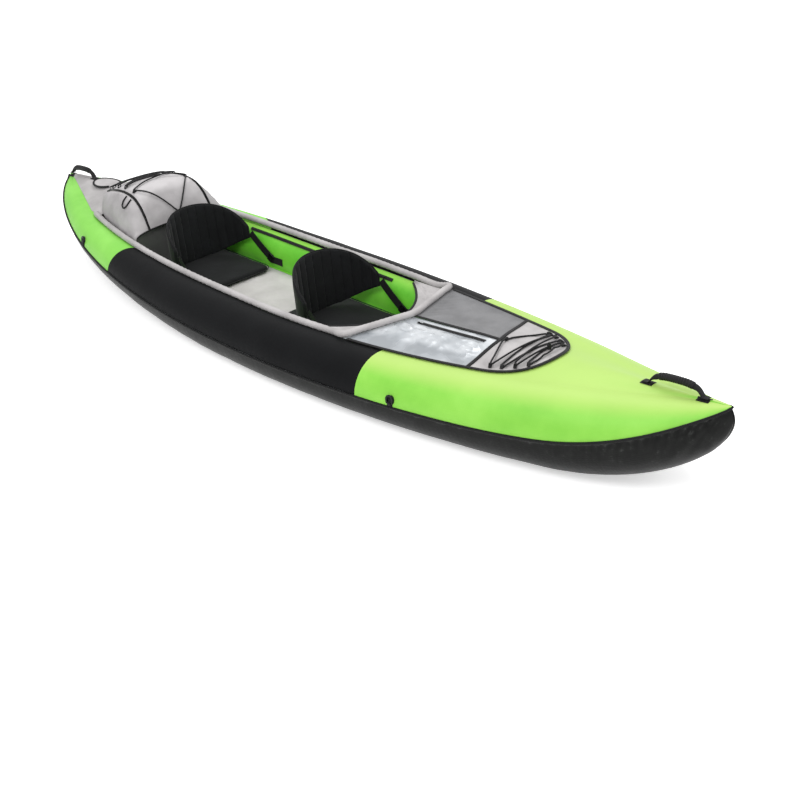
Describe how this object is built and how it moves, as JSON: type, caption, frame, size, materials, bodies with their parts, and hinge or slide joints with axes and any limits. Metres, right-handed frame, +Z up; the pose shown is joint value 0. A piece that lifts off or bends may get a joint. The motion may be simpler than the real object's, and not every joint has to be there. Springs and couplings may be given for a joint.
{
  "type": "inflatable tandem kayak",
  "caption": "Long inflatable kayak in lime and black cloth with a laced bow deck, domed stern cover, padded rim, wrap-round seats, carry handles and tie-down rings.",
  "frame": {"origin": "on the flat bottom, under the middle of the length between the seam tips", "axes": "+X to the bow, +Y to port, +Z up"},
  "size_m": [3.8378, 0.96, 0.4886],
  "materials": {
    "lime_nylon": "satin",
    "black_nylon": "matte",
    "tarpaulin": "satin",
    "bladder_vinyl": "satin",
    "grey_nylon": "matte",
    "rim_fabric": "matte",
    "mesh": "matte",
    "clear_vinyl": "gloss",
    "black_webbing": "matte",
    "elastic_cord": "matte",
    "black_plastic": "satin",
    "zip_metal": "satin",
    "grip_rubber": "matte",
    "valve_plastic": "satin"
  },
  "bodies": {
    "hull": {"bottom_hull": "tarpaulin", "starboard_air_chamber": "bladder_vinyl", "port_air_chamber": "bladder_vinyl", "floor_air_chamber": "bladder_vinyl", "starboard_mid_panel": "black_nylon", "port_mid_panel": "black_nylon", "starboard_inner_wall": "lime_nylon", "port_inner_wall": "lime_nylon", "bow_cover": "lime_nylon", "stern_cover": "lime_nylon", "stern_deck_panel": "grey_nylon", "seam_piping": "black_webbing", "floor_cover": "grey_nylon", "cockpit_rim": "rim_fabric", "splash_collar": "grey_nylon", "collar_binding": "black_webbing", "mesh_panel": "mesh", "map_pocket": "clear_vinyl", "map_pocket_zip": "black_plastic", "bow_deck_panel": "grey_nylon", "deck_binding": "black_webbing", "bow_bungee": "elastic_cord", "bow_lace_tabs": "black_webbing", "cord_lock_body": "black_plastic", "dome_top": "grey_nylon", "dome_starboard_side": "grey_nylon", "dome_port_side": "grey_nylon", "dome_piping": "black_webbing", "dome_bungee": "elastic_cord", "dome_lace_tabs": "black_webbing", "dome_pull_loop": "black_webbing", "dome_bulkhead": "black_nylon", "front_seat_pad": "black_nylon", "front_seat_straps": "black_webbing", "rear_seat_pad": "black_nylon", "rear_seat_straps": "black_webbing", "strap_anchors": "black_webbing", "strap_buckles": "black_plastic", "handle_patches": "black_webbing", "ring_tabs": "black_webbing", "chamber_zips": "black_plastic", "air_valves": "valve_plastic"},
    "front_backrest": {"front_backrest": "black_nylon"},
    "rear_backrest": {"rear_backrest": "black_nylon"},
    "bow_handle": {"bow_handle": "black_webbing", "bow_handle_grip": "grip_rubber"},
    "stern_handle": {"stern_handle": "black_webbing", "stern_handle_grip": "grip_rubber"},
    "bow_starboard_ring": {"bow_starboard_ring": "black_plastic"},
    "bow_port_ring": {"bow_port_ring": "black_plastic"},
    "stern_starboard_ring": {"stern_starboard_ring": "black_plastic"},
    "stern_port_ring": {"stern_port_ring": "black_plastic"},
    "map_zip_slider": {"map_zip_slider": "zip_metal"},
    "starboard_zip_slider": {"starboard_zip_slider": "black_plastic"},
    "port_zip_slider": {"port_zip_slider": "black_plastic"},
    "cord_lock_button": {"cord_lock_button": "black_plastic"},
    "stern_flap": {"stern_flap": "grey_nylon"},
    "starboard_valve_cap": {"starboard_valve_cap": "valve_plastic"},
    "port_valve_cap": {"port_valve_cap": "valve_plastic"},
    "floor_valve_cap": {"floor_valve_cap": "valve_plastic"}
  },
  "joints": [
    {"name": "front_backrest_tilt", "type": "hinge", "parent": "hull", "child": "front_backrest", "pos_m": [-0.016, 0, 0.13153], "axis": [0, 1, 0], "range_deg": [-25, 10], "deforming": ["front_seat_straps"]},
    {"name": "rear_backrest_tilt", "type": "hinge", "parent": "hull", "child": "rear_backrest", "pos_m": [-0.88, 0, 0.13532], "axis": [0, 1, 0], "range_deg": [-8, 10], "deforming": ["rear_seat_straps"]},
    {"name": "bow_handle_swing", "type": "hinge", "parent": "hull", "child": "bow_handle", "pos_m": [1.712, 0, 0.36859], "axis": [0.9972, 0, 0.0743], "range_deg": [-70, 70], "stiffness_Nm_per_rad": 0.1},
    {"name": "stern_handle_swing", "type": "hinge", "parent": "hull", "child": "stern_handle", "pos_m": [-1.77, 0, 0.36535], "axis": [0.9985, 0, 0.0548], "range_deg": [-70, 70], "stiffness_Nm_per_rad": 0.1},
    {"name": "bow_port_ring_swing", "type": "hinge", "parent": "hull", "child": "bow_port_ring", "pos_m": [0.81588, 0.41314, 0.15156], "axis": [-0.9885, 0.1512, 0], "range_deg": [0, 150]},
    {"name": "bow_starboard_ring_swing", "type": "hinge", "parent": "hull", "child": "bow_starboard_ring", "pos_m": [0.81588, -0.41314, 0.15156], "axis": [0.9885, 0.1512, 0], "range_deg": [0, 150]},
    {"name": "stern_port_ring_swing", "type": "hinge", "parent": "hull", "child": "stern_port_ring", "pos_m": [-1.27651, 0.34567, 0.21685], "axis": [-0.965, -0.2623, 0], "range_deg": [0, 150]},
    {"name": "stern_starboard_ring_swing", "type": "hinge", "parent": "hull", "child": "stern_starboard_ring", "pos_m": [-1.27651, -0.34567, 0.21685], "axis": [0.965, -0.2623, 0], "range_deg": [0, 150]},
    {"name": "map_zip_run", "type": "slide", "parent": "hull", "child": "map_zip_slider", "axis": [0.9963, 0, 0.0862], "range_m": [0, 0.24]},
    {"name": "starboard_zip_run", "type": "slide", "parent": "hull", "child": "starboard_zip_slider", "axis": [1, 0.0012, -0.0044], "range_m": [-0.45, 0]},
    {"name": "port_zip_run", "type": "slide", "parent": "hull", "child": "port_zip_slider", "axis": [1, -0.0012, -0.0044], "range_m": [-0.45, 0]},
    {"name": "cord_lock_press", "type": "slide", "parent": "hull", "child": "cord_lock_button", "axis": [0, 0, -1], "range_m": [0, 0.0035], "stiffness_N_per_m": 400},
    {"name": "stern_flap_lift", "type": "hinge", "parent": "hull", "child": "stern_flap", "pos_m": [-1.48, 0, 0.365], "axis": [0, 1, 0], "range_deg": [0, 100]},
    {"name": "port_valve_cap_turn", "type": "hinge", "parent": "hull", "child": "port_valve_cap", "pos_m": [-0.85, 0.21473, 0.18501], "axis": [0.0668, -0.9636, 0.2588], "continuous": true},
    {"name": "starboard_valve_cap_turn", "type": "hinge", "parent": "hull", "child": "starboard_valve_cap", "pos_m": [-0.85, -0.21473, 0.18501], "axis": [0.0668, 0.9636, 0.2588], "continuous": true},
    {"name": "floor_valve_cap_turn", "type": "hinge", "parent": "hull", "child": "floor_valve_cap", "pos_m": [-1.06, 0, 0.10045], "axis": [0, 0, 1], "continuous": true}
  ]
}
